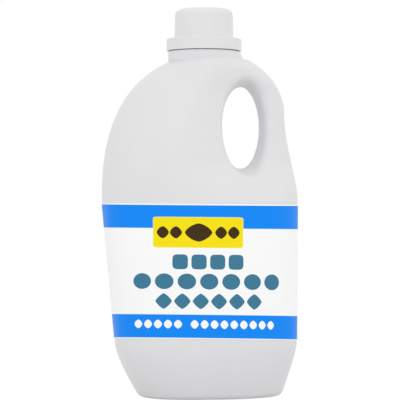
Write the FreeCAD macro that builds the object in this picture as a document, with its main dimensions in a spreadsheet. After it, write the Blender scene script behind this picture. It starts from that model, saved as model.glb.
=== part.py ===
"""Two-litre dish soap jug: a blow-moulded bottle with a through handle, a front
label, a pour spout pressed into the neck, a seal ring and a screw-on dosing cap.

Millimetres, +Z up, the front of the label towards -Y and the handle towards +X.
The origin lies under the middle of the bottle, on the surface it stands on.
"""
import FreeCAD
import Part
import math
import os
import Sketcher

V = FreeCAD.Vector
DOC = FreeCAD.newDocument("dish_soap_bottle")

# Driving sizes, one cell each. Reaches are measured from the neck axis. The
# heights of the root, grip, hole and fill line are measured from the top of the
# label panel, and the edges of the label from the ends of the panel.
SIZES = {
    # Blow-moulded body
    "wall": 1.0,
    "base_left": 48.9,
    "base_right": 57.8,
    "base_depth": 37.0,
    "heel_radius": 5.0,
    "foot_height": 38.0,
    "foot_left": 66.6,
    "foot_right": 69.6,
    "foot_depth": 46.0,
    "panel_height": 145.0,
    "panel_left": 76.6,
    "panel_right": 70.3,
    "panel_depth": 47.5,
    "dome_rise": 109.6,
    "dome_power": 2.58,
    "root_height": 106.0,
    "root_depth": 28.9,
    "pushup_length": 76.0,
    "pushup_depth": 42.0,
    "pushup_rise": 5.0,
    # Handle moulded into the body
    "grip_reach": 61.4,
    "grip_shoulder": 66.3,
    "grip_dome": 47.4,
    "grip_pinch": 0.55,
    "pinch_run": 32.0,
    "hole_centre": 27.8,
    "hole_height": 55.5,
    "hole_width": 28.8,
    "hole_length": 61.3,
    "hole_draft": 10.0,
    "rim_radius": 5.5,
    # Collar and neck
    "collar_radius": 26.8,
    "collar_flare": 3.4,
    "collar_rise": 6.3,
    "neck_radius": 23.4,
    "neck_wall": 1.5,
    "neck_rise": 6.3,
    # Pour spout
    "plug_fit": 0.05,
    "plug_wall": 1.2,
    "plug_drop": 13.0,
    "flange_radius": 24.8,
    "flange_thickness": 1.2,
    "tray_fall": 2.4,
    "tube_radius": 12.5,
    "tube_wall": 1.2,
    "tube_rise": 17.0,
    "lip_slant": 7.0,
    "drain_slot": 7.0,
    # Seal ring
    "seal_thickness": 1.0,
    "seal_width": 3.4,
    "seal_inset": 0.4,
    # Dosing cap
    "skirt_gap": 0.6,
    "skirt_radius": 28.1,
    "skirt_wall": 2.2,
    "skirt_rise": 8.7,
    "step_rise": 1.8,
    "cup_foot_radius": 22.1,
    "cup_top_radius": 21.6,
    "cup_wall": 1.6,
    "cup_rise": 20.7,
    "cap_top_wall": 1.8,
    "cap_edge_radius": 4.6,
    "cap_inner_edge": 3.0,
    "skirt_edge_radius": 0.9,
    # Label film
    "label_thickness": 0.25,
    "label_glue": 0.05,
    "label_wrap": 14.0,
    "label_foot": 3.6,
    "label_top": 1.7,
    "label_foot_slope": 1.44,
    "label_foot_rake": 4.5,
    "label_top_slope": 0.47,
    # Contents
    "fill_height": 84.0,
    "liquid_gap": 0.3,
}

SECTION_POINTS = 24
FOOT_SECTIONS = 6
DOME_SECTIONS = 14
PANEL_POWER = 2.4
ROUND_POWER = 2.0
LEFT_CURVE = 1.33
RIGHT_CURVE = 1.19
DEPTH_CURVE = 1.6
PINCH_START = 0.5

# How near two places count as one, for picking edges
TOUCH = 0.01

sheet = DOC.addObject("Spreadsheet::Sheet", "sizes")
for row, (alias, value) in enumerate(SIZES.items(), start=1):
    sheet.set(f"A{row}", alias)
    sheet.set(f"B{row}", str(value))
    sheet.setAlias(f"B{row}", alias)
DOC.recompute()


def size(alias):
    """A driving size as the sheet holds it."""
    return float(sheet.get(alias))


# The neck axis stands off the middle of the bottle, because the handle side
# reaches less far than the plain side.
NECK_X = "(sizes.panel_left - sizes.panel_right) / 2"

# Heights that several pieces share, as expressions on the sheet.
ROOT = "(sizes.panel_height + sizes.root_height)"
HOLE_MIDDLE = "(sizes.panel_height + sizes.hole_height)"
COLLAR_TOP = f"({ROOT} + sizes.collar_rise)"
RIM = f"({COLLAR_TOP} + sizes.neck_rise)"
FLANGE_TOP = f"({RIM} + sizes.flange_thickness)"
CEILING = f"({FLANGE_TOP} + sizes.seal_thickness)"
BORE = "(sizes.neck_radius - sizes.neck_wall)"


def worked_out(expression):
    """The number that an expression on the sheet comes to."""
    return float(sheet.evalExpression(expression))


def bind(thing, **expressions):
    """Tie properties of an object to the sheet. Dots in a name are written as two underscores."""
    for name, expression in expressions.items():
        thing.setExpression(name.replace("__", "."), expression)
    return thing


def smooth(v):
    """An even S-shaped step from 0 to 1."""
    v = min(max(v, 0.0), 1.0)
    return v * v * (3 - 2 * v)


def section(height, outline, inset):
    """A closed plan section: a superellipse, narrowed towards the handle by its pinch."""
    left, right, depth, power, pinch = outline
    half = (left + right) / 2 - inset
    middle = (right - left) / 2
    points = []
    for i in range(SECTION_POINTS):
        turn = 2 * math.pi * (i + 0.5) / SECTION_POINTS + math.pi / 2
        along = math.copysign(abs(math.cos(turn)) ** (2 / power), math.cos(turn))
        across = math.copysign(abs(math.sin(turn)) ** (2 / power), math.sin(turn))
        narrowing = 1 - pinch * smooth((along + PINCH_START) / (1 + PINCH_START))
        points.append(V(middle + half * along, (depth - inset) * across * narrowing, height))
    even = [i / SECTION_POINTS for i in range(SECTION_POINTS + 1)]
    curve = Part.BSplineCurve()
    curve.interpolate(Points=points, PeriodicFlag=True, Parameters=even)
    return Part.Wire([curve.toShape()])


def foot_outline(height):
    """Left, right and depth below the label panel, swelling from the base to the panel."""
    v = max(1 - height / size("foot_height"), 0.0)
    left = size("foot_left") - (size("foot_left") - size("base_left")) * v ** LEFT_CURVE
    right = size("foot_right") - (size("foot_right") - size("base_right")) * v ** RIGHT_CURVE
    depth = size("foot_depth") - (size("foot_depth") - size("base_depth")) * v ** DEPTH_CURVE
    return left, right, depth, PANEL_POWER, 0.0


def dome_outline(height):
    """The shoulder: a superellipse on the plain side, a sloping handle with a round top on the other."""
    above = height - size("panel_height")
    rise = min(above / size("dome_rise"), 1.0)
    left = size("panel_left") * math.sqrt(1 - rise ** size("dome_power"))
    reach = size("grip_reach")
    if above <= size("grip_shoulder"):
        v = above / size("grip_shoulder")
        right = size("panel_right") + (reach - size("panel_right")) * math.sin(math.pi * v / 2) ** 2
    else:
        w = (above - size("grip_shoulder")) / size("grip_dome")
        right = reach * math.sqrt(1 - w * w)
    q = above / size("root_height")
    depth = size("root_depth") + (size("panel_depth") - size("root_depth")) * (1 - q * q)
    run = size("pinch_run")
    pinch = size("grip_pinch") * smooth(above / run) * smooth((size("root_height") - above) / run)
    power = PANEL_POWER + (ROUND_POWER - PANEL_POWER) * smooth(q)
    return left, right, depth, power, pinch


def panel_form(inset):
    """The straight-sided label panel, ruled between the foot and the shoulder."""
    foot = section(size("foot_height"), foot_outline(size("foot_height")), inset)
    top = section(size("panel_height"), dome_outline(size("panel_height")), inset)
    return Part.makeLoft([foot, top], True, True)


def collar_form(inset):
    """The round collar under the cap, flared at its foot towards the handle."""
    radius = size("collar_radius")
    flared = (radius, radius + size("collar_flare"), radius, ROUND_POWER, 0.0)
    plain = (radius, radius, radius, ROUND_POWER, 0.0)
    foot = section(worked_out(ROOT) - inset, flared, inset)
    top = section(worked_out(COLLAR_TOP) - inset, plain, inset)
    return Part.makeLoft([foot, top], True, True)


def hole_reaches(away, inset):
    """Half width and half length of the handle's hole at a distance from the parting plane."""
    grown = inset + away * math.tan(math.radians(size("hole_draft")))
    return size("hole_width") / 2 + grown, size("hole_length") / 2 + grown


def hole_ring(y, inset):
    """The elliptical outline of the hole in one plane across the handle."""
    across, upright = hole_reaches(abs(y), inset)
    ellipse = Part.Ellipse(V(0, 0, 0), max(across, upright), min(across, upright)).toShape()
    ellipse.rotate(V(0, 0, 0), V(0, 0, 1), 90 if upright > across else 0)
    ellipse.rotate(V(0, 0, 0), V(1, 0, 0), 90)
    ellipse.translate(V(size("hole_centre"), y, worked_out(HOLE_MIDDLE)))
    return Part.Wire([ellipse])


def handle_tool(inset):
    """The through hole of the handle: narrowest at the parting plane, drafted to the front and the back."""
    reach = size("panel_depth") + size("wall")
    return Part.makeLoft([hole_ring(y, inset) for y in (-reach, 0, reach)], True, True)


def on_hole(point, inset):
    """True where a point lies on the wall of the handle's hole, away from the parting plane."""
    across, upright = hole_reaches(abs(point.y), inset)
    beside = (point.x - size("hole_centre")) / across
    above = (point.z - worked_out(HOLE_MIDDLE)) / upright
    off = math.hypot(beside, above)
    return abs(off - 1) * across < TOUCH and abs(point.y) > size("wall")


def body_form(inset):
    """The whole body as a solid, drawn in by the inset on every side."""
    foot_z = size("foot_height")
    foot = []
    for i in range(FOOT_SECTIONS + 1):
        height = inset + (foot_z - inset) * i / FOOT_SECTIONS
        foot.append(section(height, foot_outline(height), inset))
    start = size("panel_height")
    top = worked_out(ROOT) - inset
    dome = []
    for i in range(DOME_SECTIONS + 1):
        share = i / DOME_SECTIONS
        height = start + (top - start) * (share + math.sin(math.pi / 2 * share)) / 2
        dome.append(section(height, dome_outline(height), inset))
    form = Part.makeLoft(foot, True, False)
    form = form.fuse([panel_form(inset), Part.makeLoft(dome, True, False)])
    form = form.cut(handle_tool(inset))
    rims = []
    for edge in form.Edges:
        spots = [edge.FirstParameter, (edge.FirstParameter + edge.LastParameter) / 2, edge.LastParameter]
        if all(on_hole(edge.valueAt(spot), inset) for spot in spots):
            rims.append(edge)
    form = form.makeFillet(size("rim_radius") - inset, rims)
    heels = [edge for edge in form.Edges if edge.BoundBox.ZMax < inset + TOUCH]
    return form.makeFillet(size("heel_radius") - inset, heels)


def feature(name, shape):
    """A document object that holds a worked-out shape, standing on the neck axis."""
    thing = DOC.addObject("Part::Feature", name)
    thing.Shape = shape
    return thing


def cylinder(name, radius, low, high):
    """A cylinder on the neck axis between two heights, all given as expressions."""
    thing = DOC.addObject("Part::Cylinder", name)
    return bind(thing, Radius=radius, Height=f"({high}) - ({low})", Placement__Base__z=low)


def boolean(kind, name, base, tool):
    """A boolean of two objects of the document."""
    thing = DOC.addObject(f"Part::{kind}", name)
    thing.Base = base
    thing.Tool = tool
    return thing


def pushup(name, extra):
    """The shallow dome pressed up into the base, grown by a wall for its inner face."""
    thing = DOC.addObject("Part::Ellipsoid", name)
    return bind(
        thing,
        Radius1=f"sizes.pushup_rise + {extra}",
        Radius2=f"sizes.pushup_length / 2 + {extra}",
        Radius3=f"sizes.pushup_depth / 2 + {extra}",
        Placement__Base__x="(sizes.base_right - sizes.base_left) / 2",
    )


# Bottle: outer skin, neck finish, and the hollow inside
outer = feature("outer_skin", body_form(0.0).fuse(collar_form(0.0)))
finish = cylinder("neck_finish", "sizes.neck_radius", f"{ROOT} + sizes.wall", RIM)
moulding = boolean("Fuse", "moulding", outer, finish)
hollow_form = feature("hollow_form", body_form(size("wall")).fuse(collar_form(size("wall"))))
floor = boolean("Cut", "hollow_floor", hollow_form, pushup("pushup_inside", "sizes.wall"))
throat = cylinder("throat", BORE, f"{ROOT} - sizes.wall", f"{RIM} + sizes.wall")
hollow = boolean("Fuse", "hollow", floor, throat)
shell = boolean("Cut", "shell", moulding, hollow)
bottle = boolean("Cut", "bottle", shell, pushup("pushup_outside", "0"))


def plane_of(body, role):
    """One of the origin planes or axes of a body, by its role."""
    return [part for part in body.Origin.OriginFeatures if part.Role == role][0]


def sketch_on(body, name, role):
    """An empty sketch on an origin plane of its body."""
    sketch = body.newObject("Sketcher::SketchObject", name)
    sketch.AttachmentSupport = [(plane_of(body, role), "")]
    sketch.MapMode = "FlatFace"
    return sketch


def profile(body, name, corners, role="XZ_Plane"):
    """A closed sketch on an origin plane, each corner held by two dimensions from the sheet."""
    sketch = sketch_on(body, name, role)
    spots = [V(worked_out(x), worked_out(z), 0) for x, z in corners]
    for i, spot in enumerate(spots):
        sketch.addGeometry(Part.LineSegment(spot, spots[(i + 1) % len(spots)]), False)
    for i in range(len(spots)):
        sketch.addConstraint(Sketcher.Constraint("Coincident", i, 2, (i + 1) % len(spots), 1))
    for i, (x, z) in enumerate(corners):
        if x == "0":
            sketch.addConstraint(Sketcher.Constraint("PointOnObject", i, 1, -2))
        else:
            index = sketch.addConstraint(Sketcher.Constraint("DistanceX", -1, 1, i, 1, spots[i].x))
            sketch.setExpression(f"Constraints[{index}]", x)
        index = sketch.addConstraint(Sketcher.Constraint("DistanceY", -1, 1, i, 1, spots[i].y))
        sketch.setExpression(f"Constraints[{index}]", z)
    return sketch


def revolved(name, corners):
    """A turned piece: its half section, carried once round the neck axis."""
    body = DOC.addObject("PartDesign::Body", name)
    sketch = profile(body, f"{name}_section", corners)
    turn = body.newObject("PartDesign::Revolution", f"{name}_turned")
    turn.Profile = sketch
    turn.ReferenceAxis = (sketch, ["V_Axis"])
    turn.Angle = 360
    DOC.recompute()
    return body


def rounded(body, name, radius, circles):
    """Round the circular edges of a turned piece that lie at the given radii and heights."""
    wanted = [(worked_out(r), worked_out(z)) for r, z in circles]
    base = body.Tip
    edges = []
    for i, edge in enumerate(base.Shape.Edges, start=1):
        if not isinstance(edge.Curve, Part.Circle):
            continue
        place = (edge.Curve.Radius, edge.Curve.Center.z)
        if any(math.dist(place, spot) < TOUCH for spot in wanted):
            edges.append(f"Edge{i}")
    fillet = body.newObject("PartDesign::Fillet", name)
    fillet.Base = (base, edges)
    bind(fillet, Radius=radius)
    DOC.recompute()
    return body


# Dosing cap: a measuring cup standing on a wide skirt, one moulding
SKIRT_FOOT = f"({COLLAR_TOP} + sizes.skirt_gap)"
SKIRT_TOP = f"({SKIRT_FOOT} + sizes.skirt_rise)"
STEP_TOP = f"({SKIRT_TOP} + sizes.step_rise)"
CAP_TOP = f"({STEP_TOP} + sizes.cup_rise)"
SKIRT_BORE = "(sizes.skirt_radius - sizes.skirt_wall)"
CUP_FOOT_BORE = "(sizes.cup_foot_radius - sizes.cup_wall)"
CUP_TOP_BORE = "(sizes.cup_top_radius - sizes.cup_wall)"
CUP_ROOF = f"({CAP_TOP} - sizes.cap_top_wall)"
cap = revolved("cap", [
    (SKIRT_BORE, SKIRT_FOOT),
    ("sizes.skirt_radius", SKIRT_FOOT),
    ("sizes.skirt_radius", SKIRT_TOP),
    ("sizes.cup_foot_radius", STEP_TOP),
    ("sizes.cup_top_radius", CAP_TOP),
    ("0", CAP_TOP),
    ("0", CUP_ROOF),
    (CUP_TOP_BORE, CUP_ROOF),
    (CUP_FOOT_BORE, CEILING),
    (SKIRT_BORE, CEILING),
])
rounded(cap, "cap_crown", "sizes.cap_edge_radius", [("sizes.cup_top_radius", CAP_TOP)])
rounded(cap, "cup_roof_corner", "sizes.cap_inner_edge", [(CUP_TOP_BORE, CUP_ROOF)])
rounded(cap, "skirt_edges", "sizes.skirt_edge_radius", [
    ("sizes.skirt_radius", SKIRT_TOP),
    ("sizes.cup_foot_radius", STEP_TOP),
])

# Pour spout: a flange on the rim, a plug wall in the bore, a sloping tray that
# drains back through the slot of the tube
PLUG = f"({BORE} - sizes.plug_fit)"
TRAY = f"({PLUG} - sizes.plug_wall)"
PLUG_FOOT = f"({RIM} - sizes.plug_drop)"
TRAY_EDGE = f"({PLUG_FOOT} + sizes.plug_wall + sizes.tray_fall)"
TRAY_WELL = f"({PLUG_FOOT} + sizes.plug_wall)"
TUBE_TOP = f"({FLANGE_TOP} + sizes.tube_rise)"
TUBE_BORE = "(sizes.tube_radius - sizes.tube_wall)"
spout = revolved("pour_spout", [
    (PLUG, f"{PLUG_FOOT} + sizes.tray_fall"),
    (PLUG, RIM),
    ("sizes.flange_radius", RIM),
    ("sizes.flange_radius", FLANGE_TOP),
    (TRAY, FLANGE_TOP),
    (TRAY, TRAY_EDGE),
    ("sizes.tube_radius", TRAY_WELL),
    ("sizes.tube_radius", TUBE_TOP),
    (TUBE_BORE, TUBE_TOP),
    (TUBE_BORE, PLUG_FOOT),
])
lip = profile(spout, "lip_cut", [
    ("-sizes.tube_radius - sizes.tube_wall", TUBE_TOP),
    ("sizes.tube_radius + sizes.tube_wall", f"{TUBE_TOP} - sizes.lip_slant"),
    ("sizes.tube_radius + sizes.tube_wall", f"{TUBE_TOP} + sizes.tube_wall"),
    ("-sizes.tube_radius - sizes.tube_wall", f"{TUBE_TOP} + sizes.tube_wall"),
])
lip_pocket = spout.newObject("PartDesign::Pocket", "slanted_lip")
lip_pocket.Profile = lip
lip_pocket.Midplane = True
bind(lip_pocket, Length="2 * (sizes.tube_radius + sizes.tube_wall)")
DOC.recompute()
slot = profile(spout, "drain_slot_outline", [
    ("sizes.tube_radius / 2", "-sizes.drain_slot / 2"),
    ("sizes.tube_radius + sizes.tube_wall", "-sizes.drain_slot / 2"),
    ("sizes.tube_radius + sizes.tube_wall", "sizes.drain_slot / 2"),
    ("sizes.tube_radius / 2", "sizes.drain_slot / 2"),
], "XY_Plane")
bind(slot, AttachmentOffset__Base__z=TRAY_WELL)
slot_pocket = spout.newObject("PartDesign::Pocket", "drain_slot")
slot_pocket.Profile = slot
slot_pocket.Reversed = True
bind(slot_pocket, Length="sizes.tube_rise + sizes.plug_drop + sizes.flange_thickness")
DOC.recompute()

# Seal ring: a flat washer between the spout's flange and the cap's step
seal = revolved("seal_ring", [
    (f"{CUP_FOOT_BORE} + sizes.seal_inset", FLANGE_TOP),
    (f"{CUP_FOOT_BORE} + sizes.seal_inset + sizes.seal_width", FLANGE_TOP),
    (f"{CUP_FOOT_BORE} + sizes.seal_inset + sizes.seal_width", CEILING),
    (f"{CUP_FOOT_BORE} + sizes.seal_inset", CEILING),
])


def slope(alias):
    """The tangent of an angle on the sheet."""
    return math.tan(math.radians(size(alias)))


def label_window(y):
    """The label's outline in one plane: a tall window whose foot rises and whose top falls away."""
    foot = size("foot_height") + size("label_foot") - y * slope("label_foot_rake")
    top = size("panel_height") - size("label_top")
    left = -size("panel_left") - size("wall")
    right = size("panel_right") + size("foot_right")
    return Part.makePolygon([
        V(left, y, foot - left * slope("label_foot_slope")),
        V(right, y, foot - right * slope("label_foot_slope")),
        V(right, y, top - right * slope("label_top_slope")),
        V(left, y, top - left * slope("label_top_slope")),
        V(left, y, foot - left * slope("label_foot_slope")),
    ])


def label_shape():
    """The film: a thin skin on the label panel, with sloping edges, that ends a little past each side."""
    skin = size("label_thickness") + size("label_glue")
    film = panel_form(-skin).cut(panel_form(-size("label_glue")))
    front = -size("panel_depth") - size("foot_depth")
    return film.common(Part.makeLoft([label_window(front), label_window(size("label_wrap"))], True, True))


def liquid_shape():
    """The soap: the hollow of the body, a hair's breadth smaller, up to the fill height."""
    inset = size("wall") + size("liquid_gap")
    reach = size("panel_left") + size("panel_right")
    top = size("panel_height") + size("fill_height")
    block = Part.makeBox(2 * reach, 2 * reach, top, V(-reach, -reach, 0))
    lens = worked_out("sizes.pushup_rise + sizes.wall + sizes.liquid_gap")
    dome = Part.makeSphere(1.0)
    matrix = FreeCAD.Matrix()
    matrix.scale(size("pushup_length") / 2 + inset, size("pushup_depth") / 2 + inset, lens)
    dome = dome.transformGeometry(matrix)
    dome.translate(V((size("base_right") - size("base_left")) / 2, 0, 0))
    return body_form(inset).common(block).cut(dome)


label = feature("label", label_shape())
liquid = feature("dish_liquid", liquid_shape())

# Stand every piece on the neck axis, write one file each
PIECES = {
    "bottle": bottle,
    "label": label,
    "dish_liquid": liquid,
    "pour_spout": spout,
    "seal_ring": seal,
    "cap": cap,
}
for name, piece in PIECES.items():
    piece.Label = name
    bind(piece, Placement__Base__x=NECK_X)
DOC.recompute()

for thing in DOC.Objects:
    if "Invalid" in thing.State or "Error" in thing.State:
        raise RuntimeError(f"{thing.Name} failed: {thing.State}")
os.makedirs("parts", exist_ok=True)
for name, piece in PIECES.items():
    shape = piece.Shape
    if shape.isNull() or not shape.isValid() or not shape.Solids:
        raise RuntimeError(f"{name} has no valid solid")
    shape.exportStep(f"parts/{name}.step")
    box = shape.optimalBoundingBox()
    print(f"{name}: {len(shape.Solids)} solid, {shape.Volume / 1000:.2f} cm3, "
          f"x {box.XMin:.2f} {box.XMax:.2f}, y {box.YMin:.2f} {box.YMax:.2f}, "
          f"z {box.ZMin:.2f} {box.ZMax:.2f}")
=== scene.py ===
"""A white two-litre dish soap jug with a blue-banded label, on a pale floor."""
import math

import bpy
import numpy as np
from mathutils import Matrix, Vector


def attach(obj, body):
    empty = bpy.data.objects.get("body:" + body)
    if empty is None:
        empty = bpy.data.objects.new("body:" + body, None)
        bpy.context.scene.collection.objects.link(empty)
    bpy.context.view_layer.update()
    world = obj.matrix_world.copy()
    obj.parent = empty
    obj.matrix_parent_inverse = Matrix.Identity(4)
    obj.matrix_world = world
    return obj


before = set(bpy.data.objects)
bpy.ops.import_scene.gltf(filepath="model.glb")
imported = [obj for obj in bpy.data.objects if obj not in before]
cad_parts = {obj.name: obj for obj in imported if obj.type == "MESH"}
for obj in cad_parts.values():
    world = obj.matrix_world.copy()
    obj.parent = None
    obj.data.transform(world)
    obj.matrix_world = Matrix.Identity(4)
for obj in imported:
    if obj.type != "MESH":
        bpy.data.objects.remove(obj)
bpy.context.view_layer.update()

# Camera: level with the middle of the jug and turned a little to its plain
# side, so that the inner face of the handle shows. One pixel of the
# photograph is three quarters of a millimetre on the neck's axis.
PIXEL = 0.00075
PHOTO_SIDE = 400
NECK_X = 0.00315
NECK_PIXEL = 204.0
GROUND_PIXEL = 395.0
EYE_DISTANCE = 1.40
EYE_TURN = math.radians(-10.0)
SENSOR = 36.0
NEAR_CLIP = 0.05
FAR_CLIP = 20.0

across = Vector((math.cos(EYE_TURN), math.sin(EYE_TURN), 0))
to_eye = Vector((math.sin(EYE_TURN), -math.cos(EYE_TURN), 0))
aim = Vector((NECK_X, 0, (GROUND_PIXEL - PHOTO_SIDE / 2) * PIXEL))
aim += across * ((PHOTO_SIDE / 2 - NECK_PIXEL) * PIXEL)
camera = bpy.data.objects.new("camera", bpy.data.cameras.new("camera"))
bpy.context.scene.collection.objects.link(camera)
camera.location = aim + to_eye * EYE_DISTANCE
camera.rotation_euler = to_eye.to_track_quat("Z", "Y").to_euler()
camera.data.sensor_width = SENSOR
camera.data.lens = SENSOR * EYE_DISTANCE / (PHOTO_SIDE * PIXEL)
camera.data.clip_start = NEAR_CLIP
camera.data.clip_end = FAR_CLIP
bpy.context.scene.camera = camera

# Jug: one blow-moulded shell of white polyethylene, handle and neck with it.
# Its skin has the fine grain of a sand-blasted mould, the slight unevenness
# of a blown wall, and a raised line where the two mould halves met.
HDPE_WHITE = (229, 229, 230)
HDPE_SHADE = (224, 224, 226)
HDPE_ROUGHNESS = 0.42
HDPE_ROUGHNESS_SPREAD = 0.08
CLOUD_WAVES = 14.0
CLOUD_DETAIL = 3.0
SEAM_HALF_WIDTH = 0.00025
SEAM_HEIGHT = 0.00012
GRAIN_WAVES = 1500.0
GRAIN_HEIGHT = 0.00001
BLOWN_WAVES = 22.0
BLOWN_HEIGHT = 0.00015


def linear(red, green, blue):
    """A colour as it is seen, 0 to 255, as linear light: a power of 2.4 above a short straight toe."""
    parts = [part / 255 for part in (red, green, blue)]
    return tuple(p / 12.92 if p <= 0.04045 else ((p + 0.055) / 1.055) ** 2.4 for p in parts) + (1.0,)


class Value:
    """One output of a node. Arithmetic on it adds Math nodes to its tree."""

    def __init__(self, nodes, socket):
        self.nodes = nodes
        self.socket = socket

    def maths(self, operation, *inputs):
        """Adds one Math node."""
        return self.nodes.node("ShaderNodeMath", {"operation": operation}, inputs)

    def __add__(self, other):
        return self.maths("ADD", self, other)

    def __sub__(self, other):
        return self.maths("SUBTRACT", self, other)

    def __rsub__(self, other):
        return self.maths("SUBTRACT", other, self)

    def __mul__(self, other):
        return self.maths("MULTIPLY", self, other)

    def __truediv__(self, other):
        return self.maths("DIVIDE", self, other)

    def __rtruediv__(self, other):
        return self.maths("DIVIDE", other, self)

    def __pow__(self, other):
        return self.maths("POWER", self, other)

    def __rpow__(self, other):
        return self.maths("POWER", other, self)

    def __abs__(self):
        return self.maths("ABSOLUTE", self)

    def __gt__(self, other):
        return self.maths("GREATER_THAN", self, other)

    def __lt__(self, other):
        return self.maths("LESS_THAN", self, other)

    def fraction(self):
        return self.maths("FRACT", self)

    def larger(self, other):
        return self.maths("MAXIMUM", self, other)

    __radd__ = __add__
    __rmul__ = __mul__


class Nodes:
    """The tree of nodes of a material or of the world."""

    def __init__(self, tree):
        self.tree = tree

    def node(self, kind, settings, inputs, *outputs):
        """Adds a node and gives the outputs that are asked for, or its first one.

        The settings are set first. The inputs and outputs go by their place or name, and an input
        is a number, a colour or a value of another node.
        """
        made = self.tree.nodes.new(kind)
        for setting, value in settings.items():
            setattr(made, setting, value)
        for place, value in inputs.items() if isinstance(inputs, dict) else enumerate(inputs):
            if isinstance(value, Value):
                self.tree.links.new(value.socket, made.inputs[place])
            else:
                made.inputs[place].default_value = value
        values = [Value(self, made.outputs[place]) for place in outputs or (0,)]
        return values if len(values) > 1 else values[0]

    def show(self, output, shader):
        """Makes a shader the one that the tree's output node takes."""
        self.tree.links.new(shader.socket, self.tree.nodes[output].inputs["Surface"])


class Finish(Nodes):
    """A material: one Principled shader, and the nodes that vary it over the surface."""

    def __init__(self, name, colour, roughness, **settings):
        self.material = bpy.data.materials.new(name)
        self.material.use_nodes = True
        super().__init__(self.material.node_tree)
        self.surface = self.tree.nodes["Principled BSDF"]
        self.surface.inputs["Base Color"].default_value = linear(*colour)
        self.surface.inputs["Roughness"].default_value = roughness
        for setting, value in settings.items():
            self.surface.inputs[setting.replace("_", " ")].default_value = value

    def place(self):
        """The object coordinates, in metres."""
        return self.node("ShaderNodeTexCoord", {}, [], "Object")

    def axes(self, where):
        """The x, y and z of a place."""
        return self.node("ShaderNodeSeparateXYZ", {}, [where], "X", "Y", "Z")

    def noise(self, where, waves, detail=2.0):
        """Fractal noise between 0 and 1, with its largest waves counted per metre."""
        return self.node("ShaderNodeTexNoise", {}, {"Vector": where, "Scale": waves, "Detail": detail})

    def between(self, share, low, high):
        """The colour at a share from 0 to 1 of the way from low to high.

        Of the Mix node's sockets, the colours are inputs 6 and 7 and output 2.
        """
        return self.node("ShaderNodeMix", {"data_type": "RGBA"}, {0: share, 6: low, 7: high}, 2)

    def feed(self, socket, value):
        """Links a value that varies over the surface to one of the shader's sockets."""
        self.tree.links.new(value.socket, self.surface.inputs[socket])

    def colour(self, share, low, high):
        """A base colour between two colours as they are seen."""
        self.feed("Base Color", self.between(share, linear(*low), linear(*high)))

    def roughen(self, share, middle, spread):
        """A roughness that varies by half the spread to each side of its middle."""
        self.feed("Roughness", middle - spread / 2 + share * spread)

    def relief(self, height):
        """Tilts the surface's normal by the slope of a height in metres."""
        self.feed("Normal", self.node("ShaderNodeBump", {}, {"Height": height, "Distance": 1.0}))


def dress(node, finish):
    """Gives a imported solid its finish."""
    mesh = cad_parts[node].data
    mesh.materials.clear()
    mesh.materials.append(finish.material)


hdpe = Finish("white_hdpe", HDPE_WHITE, HDPE_ROUGHNESS)
where = hdpe.place()
x, y, z = hdpe.axes(where)
cloud = hdpe.noise(where, CLOUD_WAVES, CLOUD_DETAIL)
hdpe.colour(cloud, HDPE_WHITE, HDPE_SHADE)
hdpe.roughen(cloud, HDPE_ROUGHNESS, HDPE_ROUGHNESS_SPREAD)
seam = (abs(y) < SEAM_HALF_WIDTH) * SEAM_HEIGHT
grain = hdpe.noise(where, GRAIN_WAVES) * GRAIN_HEIGHT
hdpe.relief(seam + grain + hdpe.noise(where, BLOWN_WAVES) * BLOWN_HEIGHT)
dress("bottle", hdpe)

# Neck thread: one rounded ridge, moulded with the jug, that winds up round
# the neck and runs out into its wall at both ends.
THREAD_PITCH = 0.004
THREAD_HALF_WIDTH = 0.0008
THREAD_SUNK = 0.0006
THREAD_RUN_OUT = 0.35
THREAD_STEPS = 97
SECTION_STEPS = 16
RUN_OUT_LEAST = 0.02
NECK_RADIUS = 0.0234
NECK_THREAD_HEIGHT = 0.0015
NECK_THREAD_FOOT = 0.2589
NECK_THREAD_TURNS = 0.85


def run_out(angle, span):
    """The size of a ridge's section: the sine of the way through the run-out at each end, and 1 between."""
    left = np.minimum(angle - angle.min(), angle.max() - angle) / span
    return np.sin(np.clip(left, RUN_OUT_LEAST, 1) * math.pi / 2)


def ridge(name, angle, reach, height, finish):
    """A skin over rings of points round the neck's axis, with a small flat face over each end.

    A point lies at the cosine and the sine of its ring's angle times its reach from the axis. Seen
    along the ridge, a ring's points run so that those far from the axis rise, and the faces look
    outwards.
    """
    points = np.stack([NECK_X + reach * np.cos(angle), reach * np.sin(angle), height], axis=-1)
    rings, steps = reach.shape
    spot = np.arange(rings * steps).reshape(rings, steps)
    after = np.roll(spot, -1, axis=1)
    faces = np.stack([spot[:-1], spot[1:], after[1:], after[:-1]], axis=-1).reshape(-1, 4).tolist()
    ends = [spot[0].tolist(), spot[-1, ::-1].tolist()]
    mesh = bpy.data.meshes.new(name)
    mesh.from_pydata(points.reshape(-1, 3).tolist(), [], faces + ends)
    mesh.materials.append(finish.material)
    mesh.shade_smooth()
    made = bpy.data.objects.new(name, mesh)
    bpy.context.scene.collection.objects.link(made)
    return made


def thread(name, radius, height, foot, turns, finish):
    """A ridge that winds up round the neck's axis.

    Along the ridge, the angle runs evenly through the turns, and the place rises by one pitch a turn.
    Across it, the section is an oval on the wall's surface, as high as the ridge on its open side and
    sunk a little on its other side. A height below 0 turns the ridge inwards.
    """
    angle = np.linspace(0, 2 * math.pi * turns, THREAD_STEPS)[:, None]
    turn = np.linspace(0, 2 * math.pi, SECTION_STEPS, endpoint=False)[None, :]
    size = run_out(angle, THREAD_RUN_OUT)
    open_side = np.sin(turn) * math.copysign(1, height) > 0
    proud = np.where(open_side, abs(height), THREAD_SUNK) * np.sin(turn) * size
    rise = foot + THREAD_PITCH * angle / (2 * math.pi) - THREAD_HALF_WIDTH * np.cos(turn) * size
    return ridge(name, angle, radius + proud, rise, finish)


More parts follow.
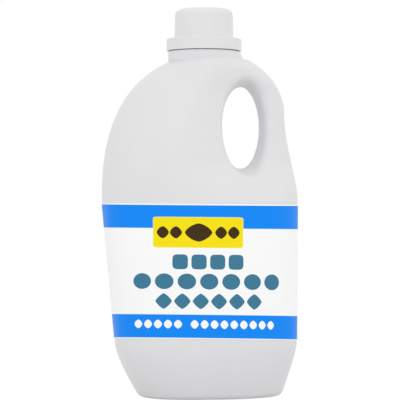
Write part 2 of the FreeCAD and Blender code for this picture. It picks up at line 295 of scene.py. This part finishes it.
neck_thread = thread(
    "neck_thread", NECK_RADIUS, NECK_THREAD_HEIGHT, NECK_THREAD_FOOT, NECK_THREAD_TURNS, hdpe)
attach(neck_thread, "jug")

# Collar fillet: the rounded root of the collar on the jug's plain side, blown
# with the jug. It closes the shoulder's wall against the collar's.
FILLET_START = math.radians(96.0)
FILLET_END = math.radians(264.0)
FILLET_STEPS = 65
FILLET_RUN_OUT = 0.5
FILLET_HEIGHT = 0.2505
FILLET_REACH = 0.0254
FILLET_SWELL = 0.00025
FILLET_HALF_DEPTH = 0.00115
FILLET_HALF_RISE = 0.0016


def root_fillet(name, finish):
    """An oval carried round the collar's root.

    Its middle lies a little further from the axis at the jug's side than at its front and back, by
    the square of the angle's cosine.
    """
    angle = np.linspace(FILLET_START, FILLET_END, FILLET_STEPS)[:, None]
    turn = np.linspace(0, 2 * math.pi, SECTION_STEPS, endpoint=False)[None, :]
    size = run_out(angle, FILLET_RUN_OUT)
    reach = FILLET_REACH + FILLET_SWELL * np.cos(angle) ** 2 + FILLET_HALF_DEPTH * np.sin(turn) * size
    return ridge(name, angle, reach, FILLET_HEIGHT - FILLET_HALF_RISE * np.cos(turn) * size, finish)


collar_fillet = root_fillet("collar_fillet", hdpe)
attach(collar_fillet, "jug")

# Label: a printed plastic film that is glued round the front of the straight
# panel. White ground, a blue band at its top and foot that dips with the
# film's edge, a yellow plate, and rows of plain marks in teal and white.
# Its sizes are in millimetres, along the film and up the print.
FILM_WHITE = (255, 255, 255)
FILM_ROUGHNESS = 0.45
FILM_ROUGHNESS_SPREAD = 0.08
FILM_SPECULAR = 0.15
FILM_PATCHES = 60.0
FILM_WAVES = 35.0
FILM_WAVE_HEIGHT = 0.00008
BAND_BLUE = (4, 140, 252)
PLATE_YELLOW = (252, 230, 8)
PLATE_EDGE = (250, 244, 140)
TEAL = (64, 124, 153)
BROWN = (62, 44, 14)
MILLIMETRES = 1000
PANEL_HALF_WIDTH = 73.45
ARC_POWER = 4
ARC_GAIN = 0.128
FOOT_AT_MIDDLE = 42.46
FOOT_SLOPE = 0.0251
FOOT_RAKE = 0.0781
TOP_AT_MIDDLE = 142.46
TOP_SLOPE = 0.0082
TOP_RAKE = 0.0023
PRINT_RISE = 96.0
LOWER_BAND_TOP = 16.8
UPPER_BAND_FOOT = 79.3
# The powers that give the marks their outlines
PLATE = 24.0
SQUARE = 4.0
OVAL = 2.0
ALMOND = 1.6
POINTED = 1.5
DIAMOND = 1.3
PLATE_MIDDLE = (-9.2, 76.3)
PLATE_HALF = (33.2, 11.2)
PLATE_KEYLINE = 0.45
MIDDLE_MARK_HALF = (10.0, 6.6)
SIDE_MARK_HALF = (4.4, 4.4)
SIDE_MARKS = (16.5, 26.0)


def mark(along, up, half, power):
    """1 inside |along / half width| ^ power + |up / half height| ^ power = 1, and 0 outside.

    A power near 1 gives a diamond, 2 an oval, 4 a square with round corners and 24 a plate.
    """
    half_width, half_height = half
    return (abs(along / half_width) ** power + abs(up / half_height) ** power) < 1.0


def row(along, rise, middle, start, pitch, count, half, power):
    """A row of like marks: the length is cut into cells of one pitch, with a mark in the middle of each."""
    cell = (along - start) / pitch
    within = (cell > 0.0) * (cell < count)
    return mark((cell.fraction() - 0.5) * pitch, rise - middle, half, power) * within


film = Finish("label_film", FILM_WHITE, FILM_ROUGHNESS, Specular_IOR_Level=FILM_SPECULAR)
where = film.place()
x, y, z = film.axes(where)
side = x * MILLIMETRES
front = y * -MILLIMETRES
level = z * MILLIMETRES
# The way along the film from its middle: x + 0.128 x (x / a) ^ 4, the length of the curved front
along = side + abs(side / PANEL_HALF_WIDTH) ** ARC_POWER * side * ARC_GAIN
foot = FOOT_AT_MIDDLE - side * FOOT_SLOPE + front * FOOT_RAKE
top = TOP_AT_MIDDLE - side * TOP_SLOPE - front * TOP_RAKE
# The way up the print: 0 on the lower band's foot and 96 on the upper band's top
rise = (level - foot) / (top - foot) * PRINT_RISE
upper_band = (rise > UPPER_BAND_FOOT) * (rise < PRINT_RISE)
lower_band = (rise > 0.0) * (rise < LOWER_BAND_TOP)
ink = film.between(upper_band + lower_band, linear(*FILM_WHITE), linear(*BAND_BLUE))
teal_marks = row(along, rise, middle=55.0, start=-29.4, pitch=13.7, count=4, half=(5.6, 5.4), power=SQUARE)
teal_marks += row(along, rise, middle=40.8, start=-58.4, pitch=16.3, count=7, half=(6.7, 5.7), power=OVAL)
teal_marks += row(along, rise, middle=26.5, start=-41.0, pitch=13.4, count=6, half=(5.9, 5.6), power=DIAMOND)
ink = film.between(teal_marks, ink, linear(*TEAL))
white_marks = row(along, rise, middle=9.8, start=-56.3, pitch=7.2, count=5, half=(2.9, 3.1), power=ALMOND)
white_marks += row(along, rise, middle=9.8, start=-15.6, pitch=7.3, count=9, half=(2.9, 3.1), power=ALMOND)
ink = film.between(white_marks, ink, linear(*FILM_WHITE))
plate_along = along - PLATE_MIDDLE[0]
plate_up = rise - PLATE_MIDDLE[1]
plate = mark(plate_along, plate_up, PLATE_HALF, PLATE)
ink = film.between(plate, ink, linear(*PLATE_EDGE))
inner_half = [half - PLATE_KEYLINE for half in PLATE_HALF]
inner_plate = mark(plate_along, plate_up, inner_half, PLATE)
ink = film.between(inner_plate, ink, linear(*PLATE_YELLOW))
brown_marks = mark(plate_along, plate_up, MIDDLE_MARK_HALF, POINTED)
for away in SIDE_MARKS:
    brown_marks += mark(abs(plate_along) - away, plate_up, SIDE_MARK_HALF, POINTED)
film.feed("Base Color", film.between(brown_marks, ink, linear(*BROWN)))
film.roughen(film.noise(where, FILM_PATCHES), FILM_ROUGHNESS, FILM_ROUGHNESS_SPREAD)
film.relief(film.noise(where, FILM_WAVES) * FILM_WAVE_HEIGHT)
dress("label", film)

# Soap: the clear pale yellow liquid that fills the jug to just under its
# neck. It is nearly as clear as water and a little cloudy in slow swirls.
SOAP_YELLOW = (238, 226, 120)
SOAP_CLOUD = (241, 233, 158)
SOAP_ROUGHNESS = 0.1
SOAP_ROUGHNESS_SPREAD = 0.04
SOAP_CLEARNESS = 0.7
SOAP_IOR = 1.36
SOAP_SWIRLS = 40.0

soap = Finish("soap", SOAP_YELLOW, SOAP_ROUGHNESS, Transmission_Weight=SOAP_CLEARNESS, IOR=SOAP_IOR)
swirl = soap.noise(soap.place(), SOAP_SWIRLS)
soap.colour(swirl, SOAP_YELLOW, SOAP_CLOUD)
soap.roughen(swirl, SOAP_ROUGHNESS, SOAP_ROUGHNESS_SPREAD)
dress("dish_liquid", soap)

# Pour spout: one moulding of natural polyethylene, pressed into the neck. A
# tray under its flange drains drips back through the slot in its tube.
LDPE_MILKY = (232, 232, 226)
LDPE_LIGHT = (236, 236, 230)
LDPE_SHADE = (226, 227, 220)
LDPE_ROUGHNESS = 0.42
LDPE_PATCHES = 90.0
LDPE_GRAIN_WAVES = 500.0
LDPE_GRAIN_HEIGHT = 0.00002

ldpe = Finish("natural_ldpe", LDPE_MILKY, LDPE_ROUGHNESS)
where = ldpe.place()
ldpe.colour(ldpe.noise(where, LDPE_PATCHES), LDPE_LIGHT, LDPE_SHADE)
ldpe.relief(ldpe.noise(where, LDPE_GRAIN_WAVES) * LDPE_GRAIN_HEIGHT)
dress("pour_spout", ldpe)

# Seal ring: a washer cut from a sheet of fine closed-cell foam, which lies on
# the spout's flange and is squeezed under the cap's step.
FOAM_WHITE = (224, 224, 220)
FOAM_SHADE = (214, 214, 208)
FOAM_LIGHT = (232, 232, 228)
FOAM_ROUGHNESS = 0.75
FOAM_CELLS = 2500.0
FOAM_CELL_HEIGHT = 0.00008

foam = Finish("seal_foam", FOAM_WHITE, FOAM_ROUGHNESS)
cells = foam.noise(foam.place(), FOAM_CELLS)
foam.colour(cells, FOAM_SHADE, FOAM_LIGHT)
foam.relief(cells * FOAM_CELL_HEIGHT)
dress("seal_ring", foam)

# Cap: one injection moulding of white polypropylene, a dosing cup that stands
# on a wide skirt. It is smoother than the jug, with the small ring of its
# gate in the middle of the cup's top.
PP_WHITE = (229, 229, 229)
PP_SHADE = (226, 226, 227)
PP_ROUGHNESS = 0.34
PP_ROUGHNESS_SPREAD = 0.06
FLOW_WAVES = 18.0
PP_GRAIN_WAVES = 900.0
PP_GRAIN_HEIGHT = 0.000006
GATE_RADIUS = 0.0022
GATE_TOP = 0.288
GATE_HEIGHT = 0.00015
CAP_BORE = 0.0259
CAP_THREAD_HEIGHT = -0.0015
CAP_THREAD_FOOT = 0.2598
CAP_THREAD_TURNS = 0.9

polypropylene = Finish("white_pp", PP_WHITE, PP_ROUGHNESS)
where = polypropylene.place()
x, y, z = polypropylene.axes(where)
flow = polypropylene.noise(where, FLOW_WAVES)
polypropylene.colour(flow, PP_WHITE, PP_SHADE)
polypropylene.roughen(flow, PP_ROUGHNESS, PP_ROUGHNESS_SPREAD)
out = ((x - NECK_X) * (x - NECK_X) + y * y) ** 0.5
gate = (out < GATE_RADIUS) * (z > GATE_TOP) * GATE_HEIGHT
polypropylene.relief(gate + polypropylene.noise(where, PP_GRAIN_WAVES) * PP_GRAIN_HEIGHT)
dress("cap", polypropylene)

cap_thread = thread(
    "cap_thread", CAP_BORE, CAP_THREAD_HEIGHT, CAP_THREAD_FOOT, CAP_THREAD_TURNS, polypropylene)
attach(cap_thread, "closure")

# Floor and backdrop: a plain white sweep. To the eye it is white all over
# but for the jug's soft shadow, and the light it throws back is a pale grey's.
FLOOR_SIDE = 6.0
FLOOR_DROP = -0.0002
FLOOR_GREY = (222, 222, 222)
FLOOR_ROUGHNESS = 0.9
FLOOR_GLOW = 1.04
FLOOR_GLOW_SHARE = 0.9
SKY_STRENGTH = 0.94
BACKDROP_STRENGTH = 1.0
PLAIN_WHITE = (1.0, 1.0, 1.0, 1.0)


def seen_directly(nodes):
    """1 where the camera, a mirror or clear glass looks at a surface: the largest of three marks."""
    eye, mirror, glass = nodes.node(
        "ShaderNodeLightPath", {}, [], "Is Camera Ray", "Is Glossy Ray", "Is Transmission Ray")
    return eye.larger(mirror).larger(glass)


world = bpy.data.worlds.new("studio")
bpy.context.scene.world = world
world.use_nodes = True
studio = Nodes(world.node_tree)
sky = studio.node("ShaderNodeBackground", {}, [PLAIN_WHITE, SKY_STRENGTH])
backdrop = studio.node("ShaderNodeBackground", {}, [PLAIN_WHITE, BACKDROP_STRENGTH])
shown = studio.node("ShaderNodeMixShader", {}, [seen_directly(studio), sky, backdrop])
studio.show("World Output", shown)

half_side = FLOOR_SIDE / 2
corners = [(a * half_side, b * half_side, FLOOR_DROP) for a, b in ((-1, -1), (1, -1), (1, 1), (-1, 1))]
floor_mesh = bpy.data.meshes.new("floor")
floor_mesh.from_pydata(corners, [], [(0, 1, 2, 3)])
floor = bpy.data.objects.new("floor", floor_mesh)
bpy.context.scene.collection.objects.link(floor)
sweep = Finish("pale_floor", FLOOR_GREY, FLOOR_ROUGHNESS)
lit = Value(sweep, sweep.surface.outputs[0])
glow = sweep.node("ShaderNodeEmission", {}, {"Strength": FLOOR_GLOW})
glowing = seen_directly(sweep) * FLOOR_GLOW_SHARE
sweep.show("Material Output", sweep.node("ShaderNodeMixShader", {}, [glowing, lit, glow]))
floor_mesh.materials.append(sweep.material)

# Lamps: three large soft panels, the key on the jug's left, one before it and
# a weak one on its right, each facing the jug's middle. A lamp has its place,
# the length of its side and its power in watts.
LAMPS = {
    "key_lamp": ((-1.2, -1.1, 0.7), 1.0, 1.6),
    "front_lamp": ((0.1, -1.7, 0.9), 1.2, 2.6),
    "side_lamp": ((1.4, -0.5, 0.8), 1.0, 1.0),
}

for name, (place, side_length, power) in LAMPS.items():
    light = bpy.data.lights.new(name, "AREA")
    light.size = side_length
    light.energy = power
    lamp = bpy.data.objects.new(name, light)
    lamp.location = place
    lamp.rotation_euler = (Vector(place) - aim).to_track_quat("Z", "Y").to_euler()
    bpy.context.scene.collection.objects.link(lamp)
bpy.context.scene.view_settings.view_transform = "Standard"
